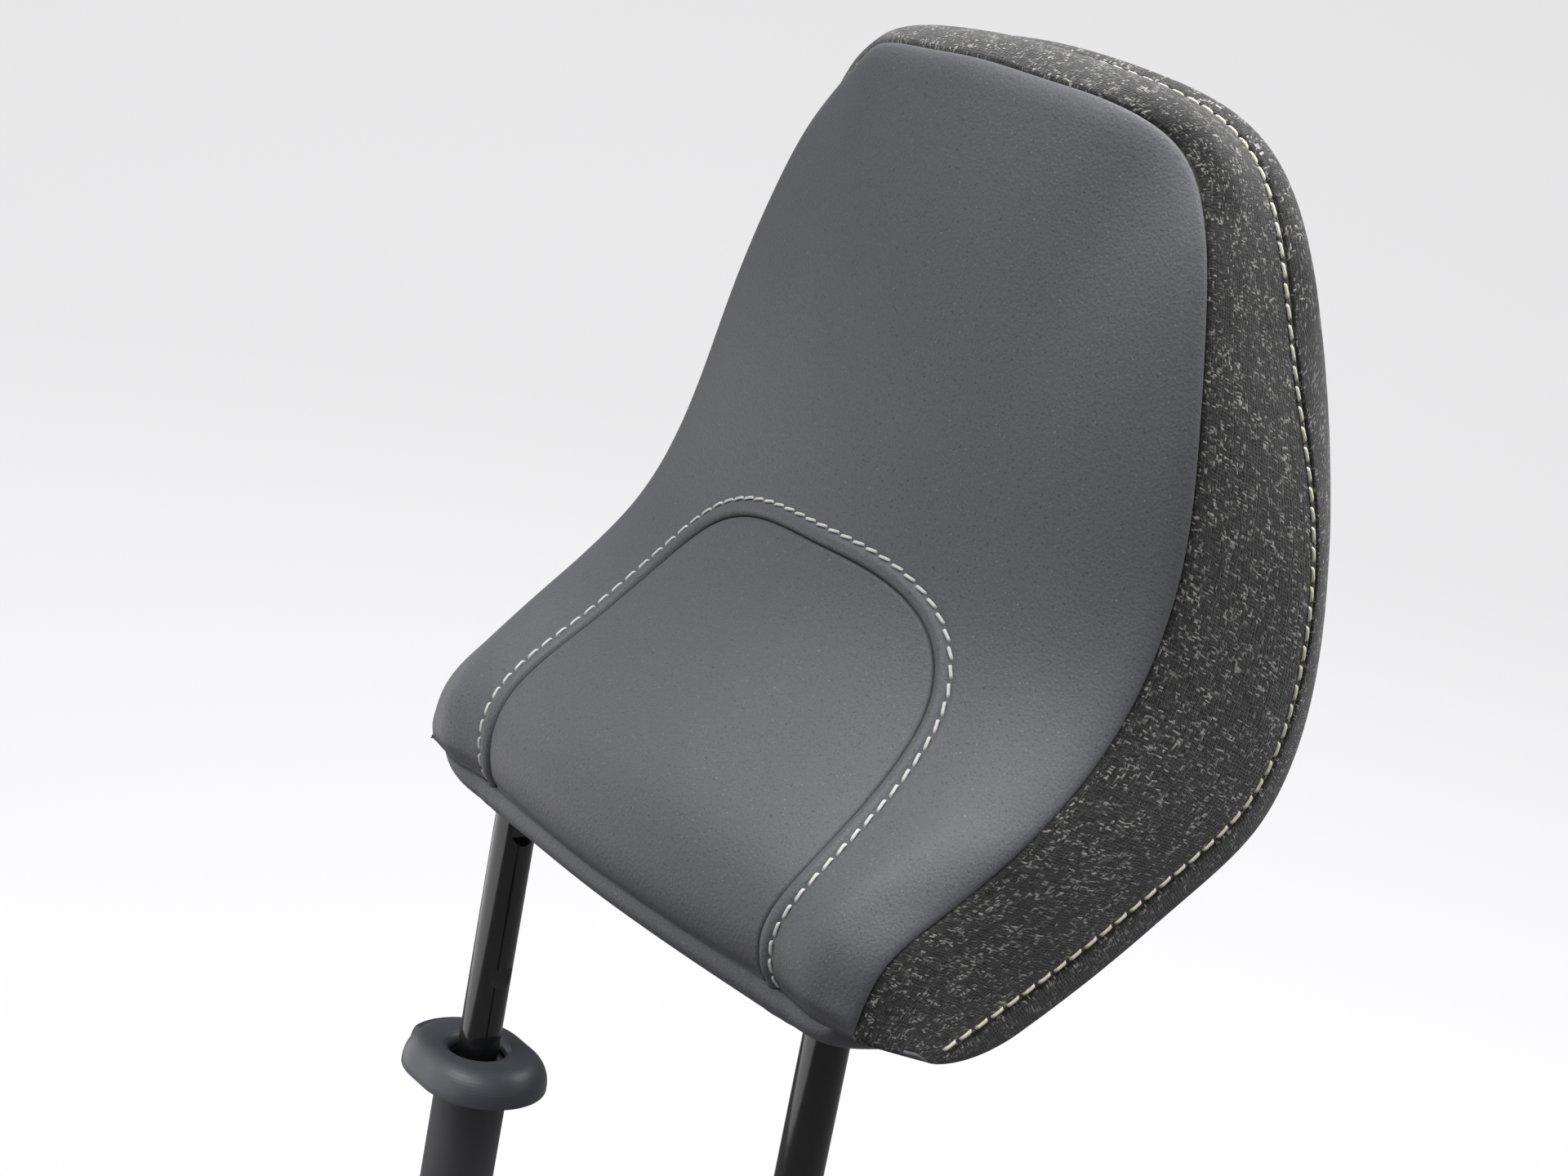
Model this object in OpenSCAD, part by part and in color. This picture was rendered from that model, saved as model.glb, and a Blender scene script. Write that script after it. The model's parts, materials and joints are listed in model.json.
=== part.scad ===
// Adjustable head restraint: an upholstered pad on two posts that slide in a pair of guide sleeves.
// Millimetres. The origin is on the axis of the locking guide, on the plane that its flange seats on.
// +Z runs up along the posts, +X runs to the free guide, and the face of the pad looks towards -Y.
// The modules are drawn about the middle plane between the posts, and are moved to the origin at the end.

/* [Posts] */
// Distance between the post axes
post_spacing = 144; // [130:1:160]
// Post diameter
post_d = 12; // [10:1:14]
// Wall thickness of the post tube
post_wall = 2; // [1.5:0.5:3]
// Height of the lower tips of the posts with the pad raised
post_tip_z = -135; // [-160:1:-120]
// Height at which the posts start to lean back inside the pad
post_bend_z = 85; // [80:1:95]
// Distance that the cross-bar lies behind the posts
post_setback = 72; // [66:1:76]
// Bend radius of the tube's centre line
bend_r = 30; // [26:1:32]
// Height of the cross-bar's centre line
crossbar_z = 235; // [228:1:240]

/* [Height notches] */
// Height of the uppermost notch's shoulder with the pad raised
notch_top_z = 77; // [74:0.5:80]
// Distance from one notch to the next
notch_pitch = 43.8; // [40:0.1:46]
// Number of notches
notch_count = 3; // [2:1:4]
// Depth of a notch
notch_depth = 1.6; // [1.2:0.1:1.8]

/* [Guides] */
// Outer diameter of a guide sleeve
sleeve_d = 21; // [19:0.5:24]
// Length of a guide sleeve under its flange
sleeve_len = 95; // [80:1:110]
// Bore of a guide sleeve, which clears the post and holds the bushes
sleeve_bore_d = 15; // [14.5:0.1:16]
// Radial running clearance between a post and its bushes
running_gap = 0.08; // [0.04:0.01:0.1]
// Width of an escutcheon across the seat
cap_w = 46; // [42:1:50]
// Depth of an escutcheon from front to back
cap_d = 38; // [34:1:42]
// Height of an escutcheon
cap_h = 9; // [8:0.5:11]
// Diameter of the hole in an escutcheon
cap_hole_d = 16; // [14:0.5:18]
// Travel of the push button
button_travel = 3; // [2:0.5:3.5]

/* [Upholstery] */
// Thickness of the trim material
trim = 2.4; // [1.5:0.1:3]
// Gap left along the seam between two panels
seam_gap = 0.2; // [0.1:0.05:0.4]
// Room between the trim and the foam
foam_gap = 1.2; // [1:0.1:1.6]
// How far the border panel swells between its seams
border_puff = 4.5; // [2:0.5:6]
// How far the face panel swells between its seams
face_puff = 1.5; // [0:0.5:3]
// How far the neck panel swells between its seams
neck_puff = 2.5; // [0:0.5:4]
// How far the back panel swells between its shoulders
back_puff = 5; // [2:1:9]
// How far the back panel's rounded shoulder stands out from the rear seam
back_shoulder = 8; // [5:0.5:10]
// How far it stands out along the lower sides, where the pad has a belly
back_belly = 17; // [10:1:20]
// How far the underside panel hangs down
underside_puff = 6.5; // [4:0.5:8]
// Number of stitches round the neck panel
neck_stitches = 72; // [60:1:90]
// Number of stitches along the border
border_stitches = 130; // [110:1:160]
// Thread diameter
thread_d = 0.9; // [0.6:0.1:1.2]

/* [Hidden] */
$fn = 48;
post_x = post_spacing / 2;
post_r = post_d / 2;
lock_z = 4;                                  // the height of the locking slider
leg_top_z = crossbar_z - bend_r;             // the legs end and the corner bends begin
// Inside the pad the posts lean back at the angle of a 3-4-5 triangle
lean_sin = 0.6;
lean_cos = 0.8;
post_lean = atan2(lean_sin, lean_cos);
lean_y = bend_r * (1 - lean_cos);            // how far one lean bend moves the tube back
lean_z = bend_r * lean_sin;                  // how far one lean bend carries the tube up
lean_len = (post_setback - 2 * lean_y) / lean_sin;
lean_top_z = post_bend_z + 2 * lean_z + lean_len * lean_cos;
foam_inset = trim + foam_gap;

// Height and depth of the face along the middle of the pad
FACE_LINE = [[88, -16], [94, -20], [105, -23.5], [122, -19.5], [141, -2.5], [157, 13], [177, 25.5],
    [213, 34.5], [265, 44], [302, 54], [320, 60]];

// Right half of each seam from its lower end up to the middle of the top
FACE_SEAM = [[99, -17, 94], [98, -12, 110], [99, 3, 124], [101, 24, 142], [100, 45, 166], [98, 57, 200],
    [92, 60, 235], [83, 62, 266], [74, 64, 286], [62, 64, 300], [46, 57, 307], [24, 53, 309], [0, 51.5, 310]];
REAR_SEAM = [[106, 3, 90], [105.5, 20, 98.5], [106.5, 44, 113.5], [107.5, 68, 130.5], [108.5, 89, 149.5],
    [107.5, 98, 181], [102.5, 95, 221], [92.5, 87, 256.5], [83, 83, 284], [71, 83, 299], [53.5, 83, 308],
    [27.5, 79, 313], [0, 77, 314.5]];
NECK_SEAM = [[63, 0, 93], [63, 0, 107], [65, 0, 122], [63, 0, 141], [57, 0, 161], [47, 0, 173.5],
    [32, 0, 180.5], [0, 0, 183]];
rim_corner = 8 / 12;                         // the share of a rim that forms its side, up to the corner
neck_corner = 5 / 7;

// ---------------------------------------------------------------- curves

function mix(a, b, t) = a + (b - a) * t;
function clamp(v) = min(max(v, 0), 1);
function flip_x(p) = [-p[0], p[1], p[2]];
function unit(v) = v / max(norm(v), 1e-9);

// A control point past either end: straight on at the lower end, mirrored at the middle of the top.
function knot(c, i) = i < 0 ? 2 * c[0] - c[1] : i < len(c) ? c[i] : flip_x(c[2 * (len(c) - 1) - i]);

// A smooth curve through control points, u from 0 to 1
function curve(c, u) =
    let (n = len(c) - 1, k = min(floor(u * n), n - 1), f = u * n - k)
    let (a = knot(c, k - 1), b = knot(c, k), d = knot(c, k + 1), e = knot(c, k + 2))
    0.5 * (2 * b + (d - a) * f + (2 * a - 5 * b + 4 * d - e) * f * f + (3 * b - a - 3 * d + e) * f * f * f);

// A whole rim: s runs from 0 at the lower left, over the top, to 1 at the lower right
function rim(c, s) = let (p = curve(c, 1 - abs(2 * s - 1))) s < 0.5 ? flip_x(p) : p;

// A smooth height-to-depth profile through points [z, y]
function slope(t, i) =
    let (a = max(i - 1, 0), b = min(i + 1, len(t) - 1)) (t[b][1] - t[a][1]) / (t[b][0] - t[a][0]);
function profile(t, z) =
    let (k = max([0, for (i = [0:len(t) - 2]) if (t[i][0] <= z) i]), h = t[k + 1][0] - t[k][0])
    let (f = (z - t[k][0]) / h, g = 1 - f)
    t[k][1] * (1 + 2 * f) * g * g + h * slope(t, k) * f * g * g
    + t[k + 1][1] * (3 - 2 * f) * f * f - h * slope(t, k + 1) * g * f * f;

// Depth of the face at any place: hollow across its width, more so above the neck
function hollow(z) = mix(0.0011, 0.0026, clamp((z - 110) / 30));
function face_y(x, z) = profile(FACE_LINE, z) + hollow(z) * x * x;
function face_error(p) = p[1] - face_y(p[0], p[2]);

// A patch spanned by four edges, c across and r upwards
function coons(low, high, left, right, c, r) =
    mix(low[0], high[0], r) + mix(left, right, c)
    - mix(mix(low[1], low[2], c), mix(high[1], high[2], c), r);
function side_point(seam, corner, r) = rim(seam, r * corner / 2);
function top_point(seam, corner, c) = rim(seam, corner / 2 + c * (1 - corner));
function patch(seam, corner, low, c, r) =
    let (left = side_point(seam, corner, r), start = side_point(seam, corner, 0))
    let (corner_p = side_point(seam, corner, 1))
    coons([low, start, flip_x(start)], [top_point(seam, corner, c), corner_p, flip_x(corner_p)],
        left, flip_x(left), c, r);

// ---------------------------------------------------------------- panel surfaces

function swell(t) = 4 * t * (1 - t);
function ease(t) = let (u = clamp(t)) u * u * (3 - 2 * u);
// Rises round from both ends to 1 within a distance w
function shoulder(t, w) = sqrt(1 - pow(1 - clamp(min(t, 1 - t) / w), 2));

function face_point(s, t) =
    let (a = rim(NECK_SEAM, s), b = rim(FACE_SEAM, s), x = mix(a[0], b[0], t), z = mix(a[2], b[2], t))
    [x, face_y(x, z) + face_error(b) * t * t * t - face_puff * swell(t), z];

function neck_point(c, r) =
    let (low = mix(flip_x(NECK_SEAM[0]), NECK_SEAM[0], c), p = patch(NECK_SEAM, neck_corner, low, c, r))
    [p[0], face_y(p[0], p[2]) - neck_puff * sin(180 * c) * sin(180 * mix(0.15, 1, r)), p[2]];

function border_normal(s) =
    let (step = 0.01, a = rim(FACE_SEAM, max(s - step, 0)), b = rim(FACE_SEAM, min(s + step, 1)))
    unit(cross(b - a, rim(REAR_SEAM, s) - rim(FACE_SEAM, s)));
function border_point(s, t) =
    mix(rim(FACE_SEAM, s), rim(REAR_SEAM, s), t) + border_normal(s) * border_puff * swell(t);

// The lower rear edge curves back to clear the posts
function rear_edge(c) =
    let (x = mix(-1, 1, c) * REAR_SEAM[0][0], q = 1 - pow(abs(2 * c - 1), 4))
    [x, REAR_SEAM[0][1] + 9 * q, REAR_SEAM[0][2] + 1.5 * q];
// The back faces down and back over the belly, and straight back above it. A full shoulder is 1.
function back_surface(c, r, full) =
    let (turn = ease((r - 0.45) / 0.3), lean = mix(-46, 4, turn), out = mix(back_belly, back_shoulder, turn))
    patch(REAR_SEAM, rim_corner, rear_edge(c), c, r)
    + [0, cos(lean), sin(lean)] * (out * full + back_puff * swell(c) * swell(r));
function back_point(c, r) = back_surface(c, r, shoulder(c, 0.06) * shoulder(r, 0.1));

function crease(c) =
    let (w = FACE_SEAM[0], x = mix(-1, 1, c) * w[0], z = mix(w[2], NECK_SEAM[0][2], sqrt(swell(c))))
    [x, face_y(x, z) + face_error(w) * pow(abs(2 * c - 1), 3), z];
function underside_point(c, r) =
    mix(crease(c), rear_edge(c), r) - [0, 0, underside_puff * sqrt(swell(r)) * (0.6 + 0.4 * swell(c))];

// The whole front, from one side of the face seam to the other
function front_point(c, r) =
    let (p = patch(FACE_SEAM, rim_corner, crease(c), c, r), side = side_point(FACE_SEAM, rim_corner, r))
    [p[0], face_y(p[0], p[2]) + face_error(side) * pow(abs(2 * c - 1), 3), p[2]];

// ---------------------------------------------------------------- solids from surfaces

// Closes a stack of rings. In each ring, point k lies opposite point (count - 1 - k).
module loft(rings) {
    m = len(rings[0]);
    n = len(rings);
    sides = [for (i = [0:n - 2]) for (k = [0:m - 1])
        let (a = i * m + k, b = i * m + (k + 1) % m) each [[a, b, b + m], [a, b + m, a + m]]];
    function cap(o) = [for (k = [0:m / 2 - 2]) each [[o + k + 1, o + k, o + m - 1 - k],
        [o + k + 1, o + m - 1 - k, o + m - 2 - k]]];
    top = [for (f = cap((n - 1) * m)) [f[2], f[1], f[0]]];
    polyhedron([for (ring = rings) each ring], concat(sides, cap(0), top));
}

function last(g) = len(g) - 1;
function grid_normal(g, i, j) =
    unit(cross(g[min(i + 1, last(g))][j] - g[max(i - 1, 0)][j],
        g[i][min(j + 1, last(g[0]))] - g[i][max(j - 1, 0)]));
// A grid whose outer points are drawn in from the seam by a distance
function pull(p, q, d) = p + unit(q - p) * d;
function trimmed(g, d) =
    let (rows = [for (i = [0:last(g)]) [for (j = [0:last(g[0])])
        i == 0 ? pull(g[0][j], g[1][j], d)
        : i == last(g) ? pull(g[i][j], g[i - 1][j], d)
        : g[i][j]]])
    [for (row = rows) [for (j = [0:last(row)])
        j == 0 ? pull(row[0], row[1], d)
        : j == last(row) ? pull(row[j], row[j - 1], d)
        : row[j]]];

// A panel of trim: the grid is its visible side, and the panel lies behind it. Its back is cut short of
// the seams by a number of thicknesses, the mitre.
module panel(g, mitre, thick = trim) {
    outer = trimmed(g, seam_gap / 2);
    inner = trimmed(g, seam_gap / 2 + mitre * thick);
    loft([for (i = [0:last(g)]) concat(
        [for (j = [0:last(g[0])]) outer[i][j]],
        [for (j = [last(g[0]):-1:0]) inner[i][j] - grid_normal(g, i, j) * thick])]);
}

// One row of stitches along a path that lies on a surface
module stitches(path, normals) {
    for (i = [0:len(path) - 2]) {
        start = path[i];
        along = (path[i + 1] - start) * 0.72;
        lift = unit(normals[i]) * (thread_d / 2 + 0.25);
        translate(start + lift)
            rotate([0, acos(along[2] / norm(along)), atan2(along[1], along[0])])
                cylinder(d = thread_d, h = norm(along), $fn = 16);
    }
}

// ---------------------------------------------------------------- post frame

// A ring section, or a full disc where there is no bore
module tube_section(r, bore) {
    difference() {
        circle(r);
        if (bore > 0) circle(bore);
    }
}

module tube_straight(r, bore, length) {
    linear_extrude(length) tube_section(r, bore);
}

module tube_bend(r, bore, angle) {
    rotate_extrude(angle = angle) translate([bend_r, 0]) tube_section(r, bore);
}

// The centre line of the whole frame, from one post over the cross-bar to the other
module tube_run(r, low_z, bore = 0) {
    for (side = [0, 1]) mirror([side, 0, 0]) {
        translate([post_x, 0, low_z]) tube_straight(r, bore, post_bend_z - low_z);
        translate([post_x, bend_r, post_bend_z])
            rotate([90, 0, 90]) rotate([0, 0, 180 - post_lean]) tube_bend(r, bore, post_lean);
        translate([post_x, lean_y, post_bend_z + lean_z])
            rotate([-post_lean, 0, 0]) tube_straight(r, bore, lean_len);
        translate([post_x, post_setback - bend_r, lean_top_z])
            rotate([90, 0, 90]) rotate([0, 0, -post_lean]) tube_bend(r, bore, post_lean);
        // turned so that this section's seam lines up with the seam of the bend under it
        translate([post_x, post_setback, lean_top_z])
            rotate([0, 0, 90]) tube_straight(r, bore, leg_top_z - lean_top_z);
        translate([post_x - bend_r, post_setback, leg_top_z])
            rotate([90, 0, 0]) tube_bend(r, bore, 90);
    }
    translate([bend_r - post_x, post_setback, crossbar_z])
        rotate([0, 90, 0]) tube_straight(r, bore, 2 * (post_x - bend_r));
}

// Square above, ramped below, on the inboard side of the locking post
module notch(z) {
    ramp = 5;
    flat = 3.5;
    floor_x = post_r - notch_depth;
    translate([-post_x, post_r + 1, z]) rotate([90, 0, 0])
        linear_extrude(post_d + 2)
            polygon([[floor_x, 0], [post_r + 1, 0], [post_r + 1, -flat - ramp], [floor_x, -flat]]);
}

module post_frame() {
    tip = 4;
    color([0.04, 0.04, 0.045]) difference() {
        union() {
            tube_run(post_r, post_tip_z + tip, post_r - post_wall);
            // the closed, tapered tips
            for (x = [-post_x, post_x])
                translate([x, 0, post_tip_z]) cylinder(r1 = post_r - 1.5, r2 = post_r, h = tip);
        }
        for (i = [0:notch_count - 1]) notch(notch_top_z + 2 - i * notch_pitch);
    }
}

// ---------------------------------------------------------------- guides

rattle_z = -50;                              // the middle of the anti-rattle spring
bush_len = 16;
bush_r = sleeve_bore_d / 2 - 0.05;

// A stadium, longer across the seat
module oval(w, d) {
    for (x = [-1, 1]) translate([x * (w - d) / 2, 0]) circle(d = d);
    square([w - d, d], center = true);
}

module guide_sleeve(x) {
    flange = 2;
    color([0.09, 0.09, 0.1]) translate([x, 0, 0]) difference() {
        union() {
            translate([0, 0, -sleeve_len + 3]) cylinder(d = sleeve_d, h = sleeve_len - 3);
            translate([0, 0, -sleeve_len]) cylinder(d1 = sleeve_d - 3, d2 = sleeve_d, h = 3);
            linear_extrude(flange) oval(cap_w - 6, cap_d - 6);
        }
        translate([0, 0, -sleeve_len - 1]) cylinder(d = sleeve_bore_d, h = sleeve_len + flange + 2);
    }
}

// Two liners in one sleeve, at its top and at its foot
module guide_bushes(x) {
    color([0.75, 0.74, 0.7]) translate([x, 0, 0])
        for (z = [-sleeve_len + 1, -bush_len - 1])
            translate([0, 0, z]) difference() {
                cylinder(r = bush_r, h = bush_len);
                translate([0, 0, -1]) cylinder(r = post_r + running_gap, h = bush_len + 2);
            }
}

// A bowed leaf between the sleeve and the post, halfway down
module rattle_spring(x) {
    leaf = 0.4;
    half = 14;
    outer = sleeve_bore_d / 2 - 0.05;
    bow = outer - leaf - post_r - 0.1;
    steps = 12;
    inner_line = [for (i = [0:steps]) let (t = i / steps) [outer - leaf - bow * sin(180 * t), half * (2 * t - 1)]];
    outer_line = [for (i = [steps:-1:0]) inner_line[i] + [leaf, 0]];
    color([0.6, 0.6, 0.62]) translate([x, 0, rattle_z]) rotate([0, 0, 60])
        rotate_extrude(angle = 60) polygon(concat(inner_line, outer_line));
}

// The dome's section from its axis to its edge
function dome_section(r, h) =
    concat([[0, 0], [r, 0]], [for (a = [0:7.5:90]) [r - 7 + 7 * cos(a), 0.8 + (h - 0.8) * sin(a)]], [[0, h]]);

module dome(w, d, h) {
    r = d / 2;
    for (x = [-1, 1]) translate([x * (w - d) / 2, 0, 0]) rotate_extrude() polygon(dome_section(r, h));
    for (m = [0, 1]) mirror([0, m, 0])
        translate([-(w - d) / 2, 0, 0]) rotate([90, 0, 90])
            linear_extrude(w - d) polygon(dome_section(r, h));
}

// The hole, with a rounded lip
module lip_cut() {
    lip = 3.2;
    hole = cap_hole_d / 2;
    section = concat([[0, -1], [hole, -1]],
        [for (a = [0:15:90]) [hole + lip - lip * cos(a), cap_h - lip + lip * sin(a)]],
        [[hole + lip, cap_h + 1], [0, cap_h + 1]]);
    rotate_extrude() polygon(section);
}

module escutcheon_body() {
    wall = 1.8;
    difference() {
        translate([0, 0, 0.1]) dome(cap_w, cap_d, cap_h - 0.1);
        translate([0, 0, -1]) linear_extrude(3.2) oval(cap_w - 5.6, cap_d - 5.6);
        // the pocket for the locking slider and its spring
        translate([0, 0, 2]) linear_extrude(cap_h - wall - 3.2) oval(cap_w - 9, cap_d - 13);
        lip_cut();
    }
}

module escutcheon_lock() {
    color([0.16, 0.165, 0.18]) translate([-post_x, 0, 0]) difference() {
        escutcheon_body();
        // the window for the button
        translate([-cap_w / 2 - 2, -9.3, 2.1]) cube([12.3, 18.6, 5.2]);
    }
}

module escutcheon_free() {
    color([0.16, 0.165, 0.18]) translate([post_x, 0, 0]) escutcheon_body();
}

slider_t = 1.4;
slider_half = 8.6;
slider_end = 11.5;                            // how far the slider reaches inboard of the post

// Pushed inboard to free the post
module lock_button() {
    color([0.1, 0.1, 0.11]) translate([-post_x, 0, 0]) difference() {
        intersection() {
            translate([0, 0, 0.1]) dome(cap_w + 2.4, cap_d + 2.4, cap_h + 0.6);
            translate([-cap_w / 2 - 3, -9, 2.4]) cube([10, 18, 4.6]);
        }
        translate([-cap_w / 2 + 3, -slider_half - 0.1, lock_z - slider_t / 2 - 0.05])
            cube([9, 2 * slider_half + 0.2, slider_t + 0.1]);
    }
}

// A plate round the post, whose inboard edge drops into a notch
module lock_slider() {
    clear = 0.15;
    color([0.62, 0.62, 0.64]) translate([-post_x, 0, lock_z - slider_t / 2]) difference() {
        translate([-cap_w / 2 + 3.2, -slider_half, 0])
            cube([cap_w / 2 - 3.2 + slider_end, 2 * slider_half, slider_t]);
        for (x = [0, -button_travel - clear]) translate([x, 0, -1]) cylinder(r = post_r + clear, h = 4);
        translate([-button_travel - clear, -post_r - clear, -1])
            cube([button_travel + clear, 2 * (post_r + clear), 4]);
    }
}

// Presses the slider towards the button
module lock_spring() {
    coil_r = 1.3;
    wire_r = 0.2;
    turns = 4;
    per_turn = 12;
    start = -post_x + slider_end + 0.2;
    length = cap_w / 2 - 4.7 - slider_end - 0.4;
    around = 6;
    color([0.7, 0.7, 0.72]) loft([for (i = [0:turns * per_turn])
        let (a = 360 * i / per_turn, x = start + wire_r + (length - 2 * wire_r) * i / (turns * per_turn))
        [for (k = [0:around - 1]) let (b = 360 * k / around, r = coil_r + wire_r * cos(b))
            [x + wire_r * sin(b), r * cos(a), lock_z + r * sin(a)]]]);
}

// ---------------------------------------------------------------- carrier

carrier_w = 172;
carrier_low = 172;
carrier_high = 250;
carrier_y = [61, 83];
carrier_wall = 2.5;
tube_gap = 0.1;
SCREWS = [[-46, 190], [46, 190], [-30, 218], [30, 218]];
screw_d = 4;

// A plate outline with rounded top corners
module carrier_outline(inset = 0) {
    r = 38;
    half = carrier_w / 2;
    translate([-half + inset, carrier_low + inset])
        square([carrier_w - 2 * inset, carrier_high - r - carrier_low - inset]);
    translate([-half + r, carrier_low + inset])
        square([carrier_w - 2 * r, carrier_high - carrier_low - 2 * inset]);
    for (x = [-1, 1]) translate([x * (half - r), carrier_high - r]) circle(r - inset);
}

module upright(y0, y1) {
    translate([0, y1, 0]) rotate([90, 0, 0]) linear_extrude(y1 - y0) children();
}

module carrier_shell(y0, y1, inner0, inner1) {
    difference() {
        union() {
            difference() {
                upright(y0, y1) carrier_outline();
                upright(inner0, inner1) carrier_outline(carrier_wall);
            }
            // ribs that saddle the tube, and bosses for the screws
            intersection() {
                upright(y0, y1) carrier_outline();
                union() {
                    for (x = [-1, 1]) for (z = [182, 202])
                        translate([x * post_x - 12, y0, z]) cube([24, y1 - y0, 3]);
                    for (x = [-36, 0, 36]) translate([x - 1.5, y0, crossbar_z - 12]) cube([3, y1 - y0, 24]);
                }
            }
            for (p = SCREWS) translate([p[0], y1, p[1]]) rotate([90, 0, 0]) cylinder(d = 10, h = y1 - y0);
        }
        tube_run(post_r + tube_gap, 0);
        // the legs enter through open slots in the lower edge
        for (x = [-1, 1]) translate([x * post_x - post_r - 1, carrier_y[0] - 1, carrier_low - 1])
            cube([post_d + 2, carrier_y[1] - carrier_y[0] + 2, carrier_wall + 2]);
    }
}

module carrier_front() {
    color([0.13, 0.13, 0.14]) difference() {
        carrier_shell(carrier_y[0], post_setback - 0.1, carrier_y[0] + carrier_wall, post_setback + 1);
        for (p = SCREWS) translate([p[0], carrier_y[0] + 3, p[1]]) rotate([-90, 0, 0])
            cylinder(d = screw_d, h = 30);
    }
}

module carrier_rear() {
    color([0.15, 0.15, 0.16]) difference() {
        carrier_shell(post_setback + 0.1, carrier_y[1], post_setback - 1, carrier_y[1] - carrier_wall);
        for (p = SCREWS) translate([p[0], 0, p[1]]) rotate([-90, 0, 0]) {
            translate([0, 0, post_setback]) cylinder(d = screw_d + 0.4, h = 30);
            translate([0, 0, carrier_y[1] - 3]) cylinder(d = 8.4, h = 10);
        }
    }
}

module carrier_screws() {
    head = 2.4;
    shank = 15;
    color([0.7, 0.7, 0.72]) for (p = SCREWS) translate([p[0], carrier_y[1] - 3, p[1]]) rotate([90, 0, 0])
        difference() {
            union() {
                cylinder(d = screw_d - 0.1, h = shank);
                translate([0, 0, -head]) cylinder(d = 8, h = head - 0.05);
                translate([0, 0, -1]) cylinder(d = screw_d - 0.1, h = 2);
            }
            translate([0, 0, -head - 1]) cylinder(d = 3.4, h = 2.6, $fn = 6);
        }
}

// ---------------------------------------------------------------- foam and trim

foam_rows = 16;
foam_across = 14;
foam_band = 4;

// The foam has softer shoulders than the cover over it
function foam_back(c, r) = back_surface(c, r, sqrt(swell(c)) * sqrt(swell(r)));

// One ring of the foam's outside: it starts at the middle of the left border and runs over the front
function foam_ring(r) =
    let (s = r * rim_corner / 2, half = foam_band / 2)
    concat(
        [for (k = [half:-1:1]) border_point(s, k / foam_band)],
        [for (k = [0:foam_across]) front_point(k / foam_across, r)],
        [for (k = [1:half]) border_point(1 - s, k / foam_band)],
        [for (k = [half:foam_band - 1]) border_point(1 - s, (k + 0.3) / foam_band)],
        [for (k = [foam_across - 1:-1:1]) foam_back(k / foam_across, r)],
        [for (k = [foam_band - 1:-1:half]) border_point(s, (k + 0.3) / foam_band)]);

// The inward direction at a point of a ring, longer where the ring turns a corner
function ring_inward(g, i, k) =
    let (m = len(g[0]), up = g[min(i + 1, last(g))][k] - g[max(i - 1, 0)][k])
    let (before = unit(g[i][k] - g[i][(k + m - 1) % m]), along = unit(before + unit(g[i][(k + 1) % m] - g[i][k])))
    unit(cross(up, along)) / max(before * along, 0.6);

module foam_block() {
    rows = [for (i = [0:foam_rows]) foam_ring(mix(0.03, 0.985, i / foam_rows))];
    m = len(rows[0]);
    body = [for (i = [0:foam_rows]) [for (k = [0:m - 1]) rows[i][k] + ring_inward(rows, i, k) * foam_inset]];
    top = body[foam_rows];
    crown = [for (k = [0:m - 1]) mix(top[k], top[m - 1 - k], 0.25) + [0, 0, 2]];
    loft(concat(body, [crown]));
}

module foam_core() {
    color([0.85, 0.82, 0.7]) difference() {
        foam_block();
        upright(carrier_y[0] - 0.5, carrier_y[1] + 0.5) carrier_outline(-0.5);
        tube_run(post_r + 0.6, 0);
        translate([-closing_w / 2 - 1, 5, 80]) cube([closing_w + 2, 13, 24]);
    }
}

module cover_face() {
    color([0.2, 0.205, 0.22])
        panel([for (i = [0:60]) [for (j = [0:8]) face_point(i / 60, j / 8)]], 1.8);
}

module cover_neck() {
    color([0.23, 0.235, 0.25])
        panel([for (i = [0:18]) [for (j = [0:14]) neck_point(j / 14, 1 - i / 18)]], 1.8);
}

module cover_border() {
    color([0.12, 0.115, 0.11])
        panel([for (i = [0:60]) [for (j = [0:5]) border_point(i / 60, j / 5)]], 1.6);
}

// Even steps, which meet the border's, and one more near each end for the shoulder
BACK_STEPS = concat([0, 0.015], [for (i = [1:19]) i / 20], [0.985, 1]);

module cover_back() {
    color([0.12, 0.115, 0.11])
        panel([for (r = BACK_STEPS) [for (c = BACK_STEPS) back_point(c, r)]], 1.7);
}

module cover_underside() {
    color([0.18, 0.185, 0.2]) difference() {
        panel([for (i = [0:4]) [for (j = [0:20]) underside_point(j / 20, i / 4)]], 1.8);
        for (x = [-post_x, post_x]) translate([x, 0.4, 60]) cylinder(r = post_r + 1, h = 60);
    }
}

function face_normal(s, t) =
    let (d = 0.01, a = face_point(max(s - d, 0), t), b = face_point(min(s + d, 1), t))
    unit(cross(b - a, face_point(s, t + d) - face_point(s, t - d)));

// The row lies just outside the neck seam, on the face panel
module neck_stitching() {
    out = 0.12;
    ends = 0.013;
    row = [for (i = [0:neck_stitches]) mix(ends, 1 - ends, i / neck_stitches)];
    color([0.85, 0.85, 0.84])
        stitches([for (s = row) face_point(s, out)], [for (s = row) face_normal(s, out)]);
}

// The row lies just in front of the rear seam, on the border panel
module border_stitching() {
    along_border = 0.96;
    row = [for (i = [0:border_stitches]) i / border_stitches];
    color([0.8, 0.76, 0.6])
        stitches([for (s = row) border_point(s, along_border)], [for (s = row) border_normal(s)]);
}

// ---------------------------------------------------------------- closing strips

closing_w = 120;

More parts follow.
